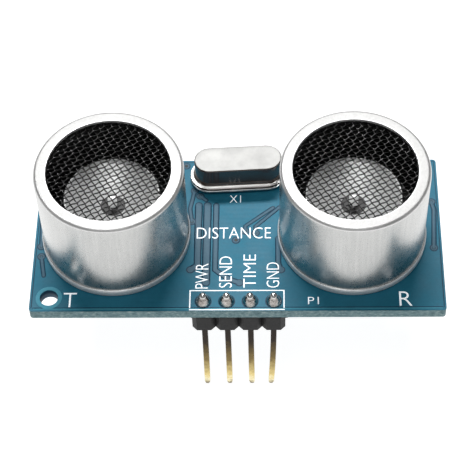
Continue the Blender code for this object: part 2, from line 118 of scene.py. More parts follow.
def mesh_from(data):
    """The mesh of a curve or a text, which is then deleted."""
    guide = bpy.data.objects.new("guide", data)
    bpy.context.scene.collection.objects.link(guide)
    mesh = bpy.data.meshes.new_from_object(guide.evaluated_get(bpy.context.evaluated_depsgraph_get()))
    bpy.data.objects.remove(guide)
    bpy.data.curves.remove(data)
    return mesh


def add_line(data, points, closed):
    """Adds a line of straight runs to a curve."""
    spline = data.splines.new("POLY")
    spline.points.add(len(points) - 1)
    spline.use_cyclic_u = closed
    for point, (x, y) in zip(spline.points, points):
        point.co = (x, y, 0.0, 1.0)


def arc(cx, cy, radius, start, end, count):
    """Points of an arc, in degrees from +X."""
    for i in range(count):
        angle = math.radians(start + (end - start) * i / (count - 1))
        yield (cx + radius * math.cos(angle), cy + radius * math.sin(angle))


def rounded(look, *shape):
    """An arc as part of a profile for lathe."""
    return [(r, z, look) for r, z in arc(*shape)]


def lathe(bm, profile, centre=(0.0, 0.0), segments=128, wobble=None):
    """Turns a profile of (radius, height, look) round an upright axis. The look is that of the band
    up to the next point, and a point at radius 0 becomes a pole."""
    rings = []
    for r, z, _ in profile:
        if r < 1e-9:
            rings.append([bm.verts.new((centre[0], centre[1], z))])
            continue
        rings.append([])
        for i in range(segments):
            angle = 2 * math.pi * i / segments
            reach = r * wobble(angle, z) if wobble else r
            rings[-1].append(bm.verts.new((centre[0] + reach * math.cos(angle),
                                           centre[1] + reach * math.sin(angle), z)))
    for (first, second), (_, _, look) in zip(zip(rings, rings[1:]), profile):
        for i in range(segments):
            j = (i + 1) % segments
            if len(first) == 1:
                corners = first[0], second[i], second[j]
            elif len(second) == 1:
                corners = first[i], second[0], first[j]
            else:
                corners = first[i], second[i], second[j], first[j]
            bm.faces.new(corners).material_index = look


def faces_of(made):
    """The faces of what a bmesh operator has just made."""
    return {face for vert in made["verts"] for face in vert.link_faces}


def add_box(bm, centre, size, look=0, turn=0.0, edge=0.0):
    """A box, optionally with its edges rounded."""
    place = Matrix.Translation(centre) @ Matrix.Rotation(turn, 4, "Z") @ Matrix.Diagonal((*size, 1.0))
    made = bmesh.ops.create_cube(bm, size=1.0, matrix=place)
    faces = faces_of(made)
    if edge:
        edges = list({e for face in faces for e in face.edges})
        made = bmesh.ops.bevel(bm, geom=edges, offset=edge, segments=2, profile=0.5, affect="EDGES")
        faces = set(made["faces"]) | {face for face in faces if face.is_valid}
    for face in faces:
        face.material_index = look


def ribbon(bm, points, width, height, z, look=0, ring=False):
    """A flat line of paint or copper along these points, with round ends and a low crown."""
    data = bpy.data.curves.new("line", "CURVE")
    data.dimensions = "3D"
    data.bevel_depth = width / 2
    data.bevel_resolution = 2
    data.use_fill_caps = True
    add_line(data, points, ring)
    mesh = mesh_from(data)
    mesh.transform(Matrix.Translation((0, 0, z)) @ Matrix.Diagonal((1, 1, 2 * height / width, 1)))
    if not ring:
        round_ends(bm, (points[0], points[-1]), width / 2, height, z, look)
    merge(bm, mesh, look)


def round_ends(bm, points, radius, height, z, look):
    """Round ends for a ribbon: flattened balls."""
    for x, y in points:
        place = Matrix.Translation((x, y, z)) @ Matrix.Diagonal((radius, radius, height, 1))
        made = bmesh.ops.create_uvsphere(bm, u_segments=12, v_segments=6, radius=1.0, matrix=place)
        for face in faces_of(made):
            face.material_index = look


def merge(bm, mesh, look=0):
    """Adds a mesh's faces to this one, with one material."""
    first = len(bm.faces)
    bm.from_mesh(mesh)
    bm.faces.ensure_lookup_table()
    for face in bm.faces[first:]:
        face.material_index = look
    bpy.data.meshes.remove(mesh)


def stadium(length, width, count=17):
    """Outline of a slot shape: two straight sides joined by half circles."""
    radius = width / 2
    half = length / 2 - radius
    return (list(arc(half, 0.0, radius, -90, 90, count))
            + list(arc(-half, 0.0, radius, 90, 270, count)))


def skin(bm, loops):
    """Joins outlines of the same number of points into one closed skin."""
    rings = [[bm.verts.new(point) for point in loop] for loop in loops]
    count = len(rings[0])
    for lower, upper in zip(rings, rings[1:]):
        for i in range(count):
            j = (i + 1) % count
            bm.faces.new((lower[i], lower[j], upper[j], upper[i]))
    bm.faces.new(rings[0][::-1])
    bm.faces.new(rings[-1])


def slab(bm, outline_at, profile, place):
    """A plate whose outline grows or shrinks with height: profile of (inset, height)."""
    skin(bm, [[place @ Vector((x, y, z)) for x, y in outline_at(inset)] for inset, z in profile])


# ---------------- materials
class Look:
    """A procedural material: its Principled shader and short ways to add nodes to it."""

    def __init__(self, name, metallic=0.0, **sockets):
        self.material = bpy.data.materials.new(name)
        self.material.use_nodes = True
        self.tree = self.material.node_tree
        self.shader = self.tree.nodes["Principled BSDF"]
        self.shader.inputs["Metallic"].default_value = metallic
        for socket, value in sockets.items():
            self.shader.inputs[socket.replace("_", " ")].default_value = value
        self.place = self.add("ShaderNodeTexCoord").outputs["Object"]

    def add(self, kind, **values):
        node = self.tree.nodes.new(kind)
        for key, value in values.items():
            setattr(node, key, value)
        return node

    def link(self, output, target):
        self.tree.links.new(output, target)

    def stretched(self, x, y, z):
        """The place with each axis scaled, for streaks."""
        node = self.add("ShaderNodeMapping")
        node.inputs["Scale"].default_value = (x, y, z)
        self.link(self.place, node.inputs["Vector"])
        return node.outputs["Vector"]

    def noise(self, size, detail=3.0, rough=0.55, vector=None):
        """Noise with grains of this size, in metres."""
        node = self.add("ShaderNodeTexNoise")
        node.inputs["Scale"].default_value = 1.0 / size
        node.inputs["Detail"].default_value = detail
        node.inputs["Roughness"].default_value = rough
        self.link(vector or self.place, node.inputs["Vector"])
        return node.outputs["Fac"]

    def ramp(self, value, *stops):
        """Maps a value through (position, colour or grey) stops."""
        node = self.add("ShaderNodeValToRGB")
        while len(node.color_ramp.elements) < len(stops):
            node.color_ramp.elements.new(0.5)
        for element, (position, colour) in zip(node.color_ramp.elements, stops):
            element.position = position
            shade = (colour,) * 3 if isinstance(colour, (int, float)) else colour
            element.color = (*shade, 1.0)
        self.link(value, node.inputs["Fac"])
        return node.outputs["Color"]

    def blend(self, share, first, second):
        """Mixes two outputs, with this share of the second."""
        node = self.add("ShaderNodeMix", data_type="RGBA")
        node.inputs[0].default_value = share
        self.link(first, node.inputs[6])
        self.link(second, node.inputs[7])
        return node.outputs[2]

    def colour(self, output):
        self.link(output, self.shader.inputs["Base Color"])

    def roughness(self, output):
        self.link(output, self.shader.inputs["Roughness"])

    def bump(self, *heights):
        """Layers of relief: each is (output, depth in metres)."""
        normal = None
        for output, depth in heights:
            node = self.add("ShaderNodeBump")
            node.inputs["Distance"].default_value = depth
            self.link(output, node.inputs["Height"])
            if normal:
                self.link(normal, node.inputs["Normal"])
            normal = node.outputs["Normal"]
        self.link(normal, self.shader.inputs["Normal"])


def metal(name, dark, light, roughness, grain=0.15 * MM, depth=0.002 * MM, spread=0.08, **sockets):
    """A metal with fine grain, slight tone changes and uneven polish."""
    look = Look(name, metallic=1.0, **sockets)
    fine = look.noise(grain)
    broad = look.noise(1.6 * MM, 4.0)
    look.colour(look.ramp(look.blend(0.4, broad, fine), (0.3, dark), (0.7, light)))
    look.roughness(look.ramp(fine, (0.3, roughness - spread), (0.75, roughness + spread)))
    look.bump((fine, depth))
    return look.material


def spun_metal(name, dark, light, roughness):
    """A metal turned on a lathe: its fine rings stretch each highlight into a fan."""
    look = Look(name, metallic=0.4, Anisotropic=0.6)
    fine = look.noise(0.1 * MM)
    rings = look.add("ShaderNodeTangent", direction_type="RADIAL", axis="Z")
    look.link(rings.outputs["Tangent"], look.shader.inputs["Tangent"])
    look.colour(look.ramp(fine, (0.3, dark), (0.7, light)))
    look.roughness(look.ramp(fine, (0.3, roughness - 0.06), (0.75, roughness + 0.06)))
    look.bump((fine, 0.002 * MM))
    return look.material


def plastic(name, dark, light, roughness, grain=0.12 * MM, specular=0.5):
    """A moulded plastic or epoxy with fine texture."""
    look = Look(name, Specular_IOR_Level=specular)
    fine = look.noise(grain, 2.0)
    broad = look.noise(2.0 * MM, 4.0)
    look.colour(look.ramp(broad, (0.3, dark), (0.7, light)))
    look.roughness(look.ramp(fine, (0.3, roughness - 0.08), (0.75, roughness + 0.1)))
    look.bump((fine, 0.004 * MM))
    return look.material


HATCH = 0.62 * MM  # pitch of the faint ridges that the copper under the mask leaves


def solder_mask(name, dark, light):
    """Glossy solder mask: clouded teal with a faint weave of the glass cloth under it."""
    look = Look(name, Specular_IOR_Level=0.3)
    cloud = look.noise(2.4 * MM, 5.0)
    weave = look.noise(0.35 * MM, 2.0)
    look.colour(look.ramp(look.blend(0.35, cloud, weave), (0.32, dark), (0.68, light)))
    look.roughness(look.ramp(cloud, (0.3, 0.5), (0.7, 0.62)))
    ridge = look.add("ShaderNodeTexWave", bands_direction="Y", wave_profile="SIN")
    ridge.inputs["Scale"].default_value = math.pi / (10 * HATCH)
    ridge.inputs["Distortion"].default_value = 0.3
    look.link(look.place, ridge.inputs["Vector"])
    look.bump((weave, 0.003 * MM), (cloud, 0.02 * MM), (ridge.outputs["Fac"], 0.008 * MM))
    return look.material


def fibreglass(name):
    """The cut edge of the board: pale resin with torn glass fibres along it."""
    look = Look(name)
    fibres = look.noise(0.12 * MM, 3.0, 0.6, look.stretched(0.35, 0.35, 2.2))
    chips = look.noise(0.45 * MM, 4.0, 0.65)
    look.colour(look.ramp(look.blend(0.5, fibres, chips), (0.34, (0.03, 0.09, 0.11)),
                          (0.5, (0.13, 0.24, 0.26)), (0.68, (0.4, 0.48, 0.48))))
    look.roughness(look.ramp(chips, (0.3, 0.55), (0.7, 0.85)))
    look.bump((fibres, 0.03 * MM), (chips, 0.06 * MM))
    return look.material


def can_metal(name, dark, light, roughness, metallic=1.0):
    """Drawn aluminium: soft vertical drawing marks and a matt grain."""
    look = Look(name, metallic=metallic)
    drawn = look.noise(0.25 * MM, 3.0, 0.6, look.stretched(1.0, 1.0, 0.06))
    grain = look.noise(0.1 * MM, 2.0)
    smudge = look.noise(2.4 * MM, 5.0, 0.65)
    tone = look.blend(0.45, look.blend(0.4, drawn, smudge), grain)
    look.colour(look.ramp(tone, (0.3, dark), (0.7, light)))
    polish = look.blend(0.5, grain, smudge)
    look.roughness(look.ramp(polish, (0.3, roughness - 0.05), (0.7, roughness + 0.07)))
    look.bump((grain, 0.0022 * MM), (drawn, 0.0012 * MM))
    return look.material


def gilt(name):
    """Gold flash over brass, with paler rubbed patches. Its tone runs with height: painted shade under the
    block, a painted highlight towards the tip, and darker again at the very tip.
    """
    look = Look(name, metallic=1.0)
    rub = look.noise(0.5 * MM, 4.0)
    lines = look.noise(0.08 * MM, 2.0, 0.5, look.stretched(1.0, 1.0, 0.04))
    axes = look.add("ShaderNodeSeparateXYZ")
    look.link(look.place, axes.inputs[0])
    # painted light: the tone follows the height down the pin, dark under the block and bright towards the
    # tip
    shade_to_highlight = look.add("ShaderNodeMapRange")
    shade_to_highlight.inputs["From Min"].default_value = FRONT.z + BACK - 2.6 * MM
    shade_to_highlight.inputs["From Max"].default_value = on_board("header_pin_1")[0].z + FRONT.z
    look.link(axes.outputs["Z"], shade_to_highlight.inputs["Value"])
    share = look.blend(0.18, shade_to_highlight.outputs["Result"], rub)
    look.colour(look.ramp(share, (0.1, (0.012, 0.008, 0.006)), (0.32, (0.022, 0.014, 0.008)),
                          (0.56, (0.2, 0.14, 0.045)), (0.78, (0.78, 0.62, 0.26)),
                          (0.84, (0.95, 0.86, 0.56)), (0.9, (0.2, 0.15, 0.06))))
    look.roughness(look.ramp(lines, (0.3, 0.16), (0.7, 0.32)))
    look.bump((lines, 0.0015 * MM))
    return look.material


def paint(name):
    """White printing ink, slightly thin in places. It glows faintly, a painted light that keeps the print
    bright where it lies in shade.
    """
    look = Look(name, Emission_Color=(0.9, 0.95, 1.0, 1.0), Emission_Strength=0.42)
    thin = look.noise(0.2 * MM, 3.0)
    look.colour(look.ramp(thin, (0.25, (0.68, 0.76, 0.8)), (0.55, (0.93, 0.95, 0.96))))
    look.roughness(look.ramp(thin, (0.3, 0.45), (0.7, 0.6)))
    look.bump((thin, 0.002 * MM))
    return look.material


MASK = solder_mask("solder_mask", (0.005, 0.125, 0.2), (0.01, 0.158, 0.245))
MASK_TRACK = solder_mask("solder_mask_over_copper", (0.038, 0.11, 0.162), (0.06, 0.136, 0.196))
# Dark mask in the bare strips beside copper, also put on the mounting-hole walls, where it is painted
# shade.
MASK_GAP_AND_HOLE_SHADE = solder_mask("solder_mask_in_gap_and_painted_hole_shade", (0.002, 0.03, 0.065), (0.004, 0.05, 0.095))
MASK_PALE = solder_mask("solder_mask_on_edge_track", (0.03, 0.24, 0.34), (0.06, 0.3, 0.4))
EDGE = fibreglass("fibreglass_edge")
# white ink with a faint painted glow, so that it stays bright in shade
GLOWING_INK = paint("white_ink_painted_glow")
CAN = can_metal("drawn_aluminium", (0.4, 0.405, 0.4), (0.58, 0.58, 0.57), 0.27)
# Copies of the can's one aluminium: the rounded rim's brighter tone is a painted highlight, the flange's
# brighter bluish tone a painted highlight, and the flat top of the rim a darker tone, painted shade that
# tempers its glare.
RIM_HIGHLIGHT = can_metal("rim_aluminium_painted_highlight", (0.6, 0.6, 0.595), (0.8, 0.8, 0.795), 0.42)
FLANGE_HIGHLIGHT = can_metal("flange_aluminium_painted_highlight", (0.62, 0.66, 0.68), (0.85, 0.88, 0.9), 0.45, 0.45)
RIM_TOP_SHADE = can_metal("rim_top_aluminium_painted_shade", (0.32, 0.32, 0.315), (0.53, 0.53, 0.525), 0.6)
# Near-black inside the cans, on the inner wall, the vibrating disc and the seat ring: painted shade.
INSIDE_SHADE = plastic("painted_shade_inside_cans", (0.006, 0.006, 0.006), (0.014, 0.014, 0.014), 0.75)
# Near-black on the stem's side and the flat ring round the horn's foot: painted shade.
FOOT_SHADE = plastic("painted_shade_at_horn_foot", (0.04, 0.04, 0.04), (0.1, 0.1, 0.1), 0.5)
WIRE = metal("mesh_wire", (0.02, 0.02, 0.02), (0.1, 0.1, 0.1), 0.2, 0.06 * MM)
HORN = spun_metal("horn_aluminium", (0.9, 0.9, 0.9), (0.99, 0.99, 0.99), 0.34)
# One nickel plating in three tones chosen by which way a face looks: the side's dark tone is painted shade
# with a faint warm painted glow, the top's tone is darkened as painted shade against glare, and the lip's
# bright tone is a painted highlight.
NICKEL_SIDE_SHADE = metal("nickel_side_painted_shade_and_glow", (0.12, 0.115, 0.11), (0.16, 0.153, 0.147), 0.14, 0.2 * MM, 0.0006 * MM, 0.03,
               Emission_Color=(1.0, 0.5, 0.3, 1.0), Emission_Strength=0.012)
NICKEL_TOP_SHADE = metal("nickel_top_painted_shade", (0.28, 0.28, 0.275), (0.4, 0.4, 0.39), 0.6, 0.06 * MM, 0.001 * MM, 0.04)
NICKEL_LIP_HIGHLIGHT = metal("nickel_lip_painted_highlight", (0.6, 0.6, 0.59), (0.75, 0.75, 0.74), 0.4, 0.06 * MM, 0.001 * MM, 0.04)
GOLD = gilt("gilt_pin")
TIN = metal("tinned_copper", (0.55, 0.55, 0.54), (0.75, 0.74, 0.72), 0.26)
SOLDER = metal("solder_joint", (0.1, 0.085, 0.075), (0.6, 0.57, 0.54), 0.22, 0.2 * MM, 0.03 * MM)
# Near-black discs at the vias: painted shade that stands for the holes' depth.
HOLE_SHADE = plastic("painted_shade_in_via_hole", (0.004, 0.008, 0.012), (0.008, 0.015, 0.02), 0.6)
BLOCK = plastic("header_plastic", (0.003, 0.003, 0.003), (0.008, 0.008, 0.009), 0.5, specular=0.25)
EPOXY = plastic("chip_epoxy", (0.018, 0.018, 0.019), (0.032, 0.032, 0.034), 0.5, 0.07 * MM)
GLAZE = plastic("resistor_glaze", (0.01, 0.01, 0.012), (0.02, 0.02, 0.024), 0.2)
TAN = plastic("capacitor_ceramic", (0.36, 0.24, 0.13), (0.47, 0.33, 0.2), 0.4)
CERAMIC = plastic("alumina", (0.72, 0.72, 0.7), (0.82, 0.82, 0.8), 0.5)
SHEET = plastic("insulator_sheet", (0.05, 0.06, 0.065), (0.09, 0.1, 0.11), 0.3)
BASE = plastic("base_plastic", (0.01, 0.01, 0.01), (0.02, 0.02, 0.02), 0.55)


def dress(node, look, edge=0.0):
    """Gives a CAD node its material and, if asked, rounded edges."""
    obj = NODES[node]
    obj.data.materials.clear()
    obj.data.materials.append(look)
    if edge:
        round_edges = obj.modifiers.new("edge", "BEVEL")
        round_edges.width = edge
        round_edges.segments = 2
        round_edges.limit_method = "ANGLE"


# ---------------- board
HOLES = ((-20.42 * MM, -8.5 * MM), (20.42 * MM, 8.5 * MM))
HOLE_R, RING_R = 1.0 * MM, 1.45 * MM
CORNER_R = 0.4 * MM
COPPER = 0.03 * MM
LONG_CUTS, UPRIGHT_CUTS = 179, 5  # how finely the torn edge is divided
PIN_PITCH = 2.54 * MM
PIN_X = [middle("header_pin_%d" % n).x for n in (1, 2, 3, 4)]
PIN_Y = middle("header_pin_1").y


def make_board():
    data = bpy.data.curves.new("outline", "CURVE")
    data.dimensions = "2D"
    data.fill_mode = "BOTH"
    data.extrude = BOARD_T / 2
    outline = []
    for cx, cy, start in ((1, 1, 0), (-1, 1, 90), (-1, -1, 180), (1, -1, 270)):
        outline += arc(cx * (HALF_X - CORNER_R), cy * (HALF_Y - CORNER_R), CORNER_R, start, start + 90, 7)
    for points in [outline] + [list(arc(x, y, HOLE_R, 360, 11.25, 32)) for x, y in HOLES]:
        add_line(data, points, True)
    bm = bmesh.new()
    bm.from_mesh(mesh_from(data))
    bmesh.ops.remove_doubles(bm, verts=bm.verts, dist=0.002 * MM)
    for face in bm.faces:
        centre = face.calc_center_median()
        upright = abs(face.normal.z) < 0.5
        in_hole = any((centre.xy - Vector(hole)).length < RING_R for hole in HOLES)
        # Mounting-hole walls take the darkest mask: painted shade in the holes.
        face.material_index = (2 if in_hole else 1) if upright else 0
    sides = [face for face in bm.faces if face.material_index == 1]
    long_edges = {e for face in sides for e in face.edges if e.calc_length() > 2 * MM}
    bmesh.ops.subdivide_edges(bm, edges=list(long_edges), cuts=LONG_CUTS, use_grid_fill=True)
    upright_edges = {e for face in bm.faces if face.material_index == 1 for e in face.edges
                     if abs(e.verts[0].co.z - e.verts[1].co.z) > BOARD_T / 2}
    bmesh.ops.subdivide_edges(bm, edges=list(upright_edges), cuts=UPRIGHT_CUTS, use_grid_fill=True)
    for vert in bm.verts:
        if all(face.material_index == 1 for face in vert.link_faces):
            x, y, z = vert.co * 1000
            ragged = math.sin(41 * x + 23 * y + 3 * math.sin(7 * x + 5 * y)) * math.sin(9 * z + 2 * x + y)
            inward = 0.015 * MM * (1 + ragged)
            vert.co.x -= math.copysign(inward, vert.co.x) if abs(vert.co.x) > HALF_X - CORNER_R else 0
            vert.co.y -= math.copysign(inward, vert.co.y) if abs(vert.co.y) > HALF_Y - CORNER_R else 0
    bmesh.ops.translate(bm, verts=bm.verts, vec=(0, 0, -BOARD_T / 2))
    piece("board", bm, MASK, EDGE, MASK_GAP_AND_HOLE_SHADE, replaces=("circuit_board",), slot="board", smooth=0)


def ring_pad(bm, x, y, inner, outer, face, side):
    """A flat copper ring on the front (side 1) or the back (side -1)."""
    top = face + side * COPPER
    lathe(bm, [(inner, face, 0), (inner, top - side * COPPER / 3, 0), (inner + COPPER, top, 0),
               (outer - COPPER, top, 0), (outer, face, 0)], (x, y), 32)


VIA_R, VIA_HOLE = 0.36 * MM, 0.2 * MM
PAD_R, PAD_HOLE = 0.8 * MM, 0.4 * MM  # the header's pads
EDGE_LINE_W, BOX_LINE_W, FRAME_LINE_W = 0.15 * MM, 0.2 * MM, 0.13 * MM
FRONT_VIAS = ((-21.75, -1.71), (-21.64, -3.06), (-5.97, 9.46), (-4.92, 5.95), (-4.28, 5.17), (-5.15, 1.62),
              (-5.16, -4.87), (-3.43, -6.59), (0.22, -6.61), (-0.21, -0.94), (0.82, 0.27), (1.96, 0.01),
              (4.74, -4.92), (21.68, 4.24), (21.59, -2.07))
# Front tracks: width, then the points that each runs through, in millimetres.
FRONT_TRACKS = (
    (0.68, (-4.42, 3.9), (-4.42, -4.3), (-5.16, -4.87)),
    (0.72, (-3.44, 3.9), (-3.44, -6.59)),
    (0.5, (-2.46, 3.9), (-2.46, -4.9), (-1.7, -5.55), (-0.7, -6.25), (0.22, -6.61)),
    (0.3, (4.68, 3.64), (1.96, 0.95), (1.96, 0.01)),
    (0.3, (3.9, 3.5), (0.82, 1.0), (0.82, 0.27)),
    (0.45, (4.45, -0.7), (4.45, -4.0), (4.74, -4.92)),
    (0.35, (21.68, 4.24), (21.9, 3.1), (21.63, -1.4), (21.59, -2.07)),
    (0.3, (-21.75, -1.71), (-21.9, 2.2), (-21.3, 5.2)),
    (0.3, (-21.64, -3.06), (-21.2, -5.6)),
    (0.3, (-5.15, 1.62), (-5.4, 3.4), (-4.92, 5.95)),
    (0.3, (-4.28, 5.17), (-3.6, 4.6)),
)
EDGE_TRACK = ((-22.0, -9.95), (22.0, -9.95))
EDGE_GAPS = (((-22.25, -9.8), (-22.25, 10.0), (22.25, 10.0), (22.25, -9.8)), ((-22.1, -9.8), (22.1, -9.8)))
GAP_W, GAP_T = 0.11 * MM, 0.012 * MM  # bare strips beside the copper, and the mask's thickness in them


def scaled(points):
    return [(x * MM, y * MM) for x, y in points]


def lay_tracks(bm, tracks, height, face, wider=0.0):
    for width, *points in tracks:
        ribbon(bm, scaled(points), width * MM + wider, height, face)


def lay_vias(bm, vias, face, side, hole_z):
    for at in scaled(vias):
        ring_pad(bm, *at, VIA_HOLE, VIA_R, face, side)
        # A near-black disc stands for the via hole: painted shade.
        lathe(bm, [(VIA_HOLE, hole_z, 2), (0.0, hole_z, 2)], at, 20)


def make_front_copper():
    bm = bmesh.new()
    lay_tracks(bm, FRONT_TRACKS, GAP_T, 0.0, 2 * GAP_W)
    for points in EDGE_GAPS:
        ribbon(bm, scaled(points), GAP_W, GAP_T, 0.0)
    for at in scaled(FRONT_VIAS):
        lathe(bm, [(0.0, GAP_T, 0), (VIA_R + GAP_W, GAP_T, 0), (VIA_R + GAP_W + GAP_T, 0.0, 0)], at, 32)
    for x in PIN_X:
        lathe(bm, [(PAD_R - 0.1 * MM, GAP_T, 0), (PAD_R + 0.12 * MM, GAP_T, 0),
                   (PAD_R + 0.13 * MM, 0.0, 0)], (x, PIN_Y), 40)
    piece("front_gaps", bm, MASK_GAP_AND_HOLE_SHADE, slot="board", smooth=0)
    bm = bmesh.new()
    lay_tracks(bm, FRONT_TRACKS, COPPER, 0.0)
    ribbon(bm, scaled(EDGE_TRACK), EDGE_LINE_W, COPPER, 0.0, 1)
    lay_vias(bm, FRONT_VIAS, 0.0, 1, COPPER / 2)
    piece("front_tracks", bm, MASK_TRACK, MASK_PALE, HOLE_SHADE, slot="board")
    bm = bmesh.new()
    for x, y in HOLES:
        ring_pad(bm, x, y, HOLE_R, RING_R, 0.0, 1)
        ring_pad(bm, x, y, HOLE_R, RING_R, BACK, -1)
    piece("hole_rings", bm, MASK_PALE, slot="board")
    bm = bmesh.new()
    for x in PIN_X:
        ring_pad(bm, x, PIN_Y, PAD_HOLE, PAD_R, 0.0, 1)
        ring_pad(bm, x, PIN_Y, PAD_HOLE, PAD_R, BACK, -1)
    piece("tinned_pads", bm, TIN, slot="tinned_lead")


INK_T = 0.02 * MM


def lettering(bm, word, low, high, z, side=1, turn=0):
    """A word in plain capitals that fills the rectangle from low to high, as a thin layer of ink."""
    data = bpy.data.curves.new("word", "FONT")
    data.body = word
    data.size = 1.0
    data.extrude = 0.5
    data.offset = -0.012
    data.resolution_u = 4
    mesh = mesh_from(data)
    mesh.transform(Matrix.Rotation(math.radians(turn), 4, "Z") @ Matrix.Diagonal((side, 1, 1, 1)))
    places = [vert.co for vert in mesh.vertices]
    least = Vector([min(co[i] for co in places) for i in range(3)])
    most = Vector([max(co[i] for co in places) for i in range(3)])
    size = (high.x - low.x, high.y - low.y, INK_T)
    scale = [size[i] / (most[i] - least[i]) for i in range(3)]
    base = Vector((*low, min(z, z + side * INK_T)))
    mesh.transform(Matrix.Translation(base) @ Matrix.Diagonal((*scale, 1)) @ Matrix.Translation(-least))
    if side < 0:
        mesh.flip_normals()
    merge(bm, mesh)


# Front words: each with its box's low and high corners in millimetres, and its turn in degrees.
WORD_BOXES = (("DISTANCE", (-4.57, -0.73), (3.66, 0.77), 0), ("X1", (-0.95, 4.23), (0.3, 5.22), 0),
              ("PWR", (-4.57, -7.37), (-3.19, -4.08), 90), ("SEND", (-2.0, -7.26), (-0.6, -3.15), 90),
              ("TIME", (0.65, -7.27), (2.0, -2.9), 90), ("GND", (3.17, -7.28), (4.55, -3.98), 90),
              ("P1", (7.63, -9.44), (8.8, -8.52), 0), ("T", (-18.82, -9.71), (-17.4, -7.89), 0),
              ("R", (17.47, -9.66), (18.83, -7.85), 0))
HEADER_BOX = ((-5.12, -10.08), (5.05, -10.08), (5.05, -7.62), (-5.12, -7.62))


def make_front_ink():
    bm = bmesh.new()
    for word, low, high, turn in WORD_BOXES:
        lettering(bm, word, Vector(low) * MM, Vector(high) * MM, COPPER, 1, turn)
    ribbon(bm, scaled(HEADER_BOX), BOX_LINE_W, INK_T, 0.0, ring=True)
    piece("front_ink", bm, GLOWING_INK, slot="board", smooth=0)


# ---------------- transducers
CAN_WALL = 0.5 * MM
FLANGE_LIP, FLANGE_H = 0.2 * MM, 0.9 * MM
RIM_HOLE, RIM_EDGE, RIM_T = 6.62 * MM, 0.45 * MM, 0.3 * MM
SEAT = 0.02 * MM  # the cans and the crystal sit this far off the mask


def make_can(kind):
    centre, flange = axis_of(kind + "_can")
    wall, top = flange - FLANGE_LIP, on_board(kind + "_can")[1].z
    lip, crease = 0.16 * MM, 0.1 * MM
    # The flange takes a brighter bluish copy of the aluminium: a painted highlight.
    profile = [(wall - CAN_WALL, SEAT, 0), (flange - crease, SEAT, 4)]
    profile += rounded(4, flange - lip, SEAT + lip, lip, -60, 0, 5)
    profile += rounded(4, flange - lip, FLANGE_H - lip, lip, 0, 80, 6)
    profile += rounded(0, wall + crease, FLANGE_H + crease, crease, 260, 180, 4)
    foot, waist, count = FLANGE_H + 0.15 * MM, 0.015 * MM, 24
    for i in range(count + 1):
        share = i / count
        profile.append((wall - waist * math.sin(math.pi * share),
                        foot + share * (top - RIM_EDGE - foot), 0))
    # The rounded rim takes a brighter copy of the aluminium (painted highlight) and its flat top a darker
    # one (painted shade).
    profile += rounded(1, wall - RIM_EDGE, top - RIM_EDGE, RIM_EDGE, 8, 72, 10)
    profile += rounded(3, wall - RIM_EDGE, top - RIM_EDGE, RIM_EDGE, 79, 88, 3)
    profile += [(RIM_HOLE + 0.12 * MM, top - 0.02 * MM, 1)]
    profile += rounded(1, RIM_HOLE + 0.1 * MM, top - 0.12 * MM, 0.1 * MM, 90, 180, 5)
    # The inner wall takes the near-black inside look: painted shade.
    profile += [(RIM_HOLE, top - RIM_T, 2), (RIM_HOLE + 0.1 * MM, top - RIM_T - 0.04 * MM, 2),
                (wall - CAN_WALL, top - RIM_T - 0.06 * MM, 2), (wall - CAN_WALL, SEAT + 0.1 * MM, 2),
                (wall - CAN_WALL, SEAT, 0)]
    bm = bmesh.new()
    lathe(bm, profile, centre, 192)
    piece(kind + "_can_shell", bm, CAN, RIM_HIGHLIGHT, INSIDE_SHADE, RIM_TOP_SHADE, FLANGE_HIGHLIGHT,
          replaces=(kind + "_can",), slot="can_metal", smooth=50)


WEAVE_TURN = math.radians(30.7)
STEEP_PITCH, SHALLOW_PITCH = 0.665 * MM, 0.54 * MM
WIRE_R = 0.074 * MM
WIRE_SIDES = 6
STEPS = 4  # points of a wire between two crossings


def make_mesh(kind):
    """A plain weave: each wire waves over and under the wires that cross it."""
    low, high = on_board(kind + "_mesh")
    centre = (low + high) / 2
    radius = (high.x - low.x) / 2 - 0.03 * MM
    rise = (high.z - low.z) / 2 - WIRE_R - 0.01 * MM
    along = Vector((math.cos(WEAVE_TURN), math.sin(WEAVE_TURN), 0))
    across = Vector((-along.y, along.x, 0))
    up = Vector((0, 0, 1))
    bm = bmesh.new()
    for run, side, pitch, other, sign in ((across, along, STEEP_PITCH, SHALLOW_PITCH, 1),
                                          (along, across, SHALLOW_PITCH, STEEP_PITCH, -1)):
        reach = int(radius / pitch)
        for i in range(-reach, reach + 1):
            offset = i * pitch
            half = math.sqrt(max(radius * radius - offset * offset, 0))
            steps = int(2 * half / other * STEPS)
            if steps < 2:
                continue
            before = None
            for k in range(steps + 1):
                s = -half + 2 * half * k / steps
                phase = math.pi * (s / other + i)
                slope = -sign * rise * math.pi / other * math.sin(phase)
                axis = (run + up * slope).normalized()
                lift = axis.cross(side).normalized()
                if lift.z < 0:
                    lift = -lift
                at = centre + run * s + side * offset + up * (sign * rise * math.cos(phase))
                ring = []
                for j in range(WIRE_SIDES):
                    turn = 2 * math.pi * j / WIRE_SIDES
                    out = side * math.cos(turn) + lift * math.sin(turn)
                    ring.append(bm.verts.new(at + out * WIRE_R))
                if before is None:
                    bm.faces.new(ring)
                else:
                    for j in range(WIRE_SIDES):
                        n = (j + 1) % WIRE_SIDES
                        bm.faces.new((before[j], ring[j], ring[n], before[n]))
                before = ring
            bm.faces.new(before[::-1])
    bmesh.ops.recalc_face_normals(bm, faces=bm.faces)
    piece(kind + "_woven_mesh", bm, WIRE, replaces=(kind + "_mesh",), slot="mesh_wire", smooth=80)


# The cone's foot and its stem, and how far the foot is above the CAD horn's
HORN_FOOT, HORN_LIFT, STEM_R = 1.25 * MM, 0.65 * MM, 0.5 * MM


